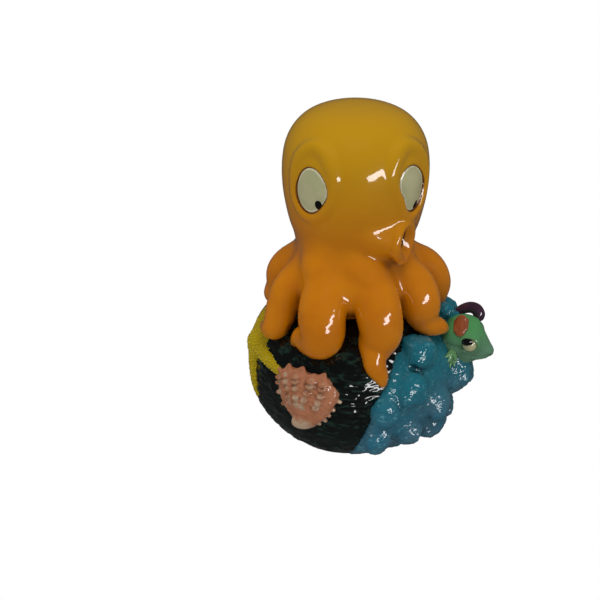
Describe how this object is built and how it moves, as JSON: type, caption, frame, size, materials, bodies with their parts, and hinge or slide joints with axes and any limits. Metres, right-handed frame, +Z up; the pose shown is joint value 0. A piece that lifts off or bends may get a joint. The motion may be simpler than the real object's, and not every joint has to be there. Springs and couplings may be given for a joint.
{
  "type": "octopus figurine",
  "caption": "Glossy painted resin ornament: an octopus draped over a rounded boulder with coral, a fish, a starfish and a scallop shell, standing on its flat base.",
  "frame": {"origin": "on the floor under the middle of the bounding box", "axes": "+Z up through the ornament's head, -Y toward the side that the octopus faces, +X to its right as seen from the front"},
  "size_m": [0.0866, 0.0788, 0.1159],
  "materials": {
    "octopus_orange": "glossy clear-coated paint on cast resin",
    "eye_white": "glossy clear-coated paint on cast resin",
    "pupil_black": "glossy clear-coated paint on cast resin",
    "rock_black": "glossy clear-coated paint on cast resin",
    "coral_blue": "glossy clear-coated paint on cast resin",
    "starfish_yellow": "glossy clear-coated paint on cast resin",
    "shell_pink": "glossy clear-coated paint on cast resin",
    "fish_green": "glossy clear-coated paint on cast resin",
    "fish_light_green": "glossy clear-coated paint on cast resin",
    "fin_red": "glossy clear-coated paint on cast resin",
    "tail_purple": "glossy clear-coated paint on cast resin"
  },
  "bodies": {
    "root": {"rock_base": "rock_black", "mantle": "octopus_orange", "siphon": "octopus_orange", "eye_left": "eye_white", "eye_right": "eye_white", "pupil_left": "pupil_black", "pupil_right": "pupil_black", "fish_body": "fish_green", "fish_eyes": "eye_white", "fish_pupils": "pupil_black", "fish_dorsal_fin": "fin_red", "fish_tail": "tail_purple", "fish_pectoral_fin": "fish_light_green", "coral_knob": "coral_blue", "coral_mound": "coral_blue", "starfish": "starfish_yellow", "scallop_shell": "shell_pink", "arm_left_front": "octopus_orange", "arm_front_left": "octopus_orange", "arm_front_right": "octopus_orange", "arm_right_front": "octopus_orange", "arm_right": "octopus_orange", "arm_back_right": "octopus_orange", "arm_back_left": "octopus_orange", "arm_left": "octopus_orange"}
  },
  "joints": []
}
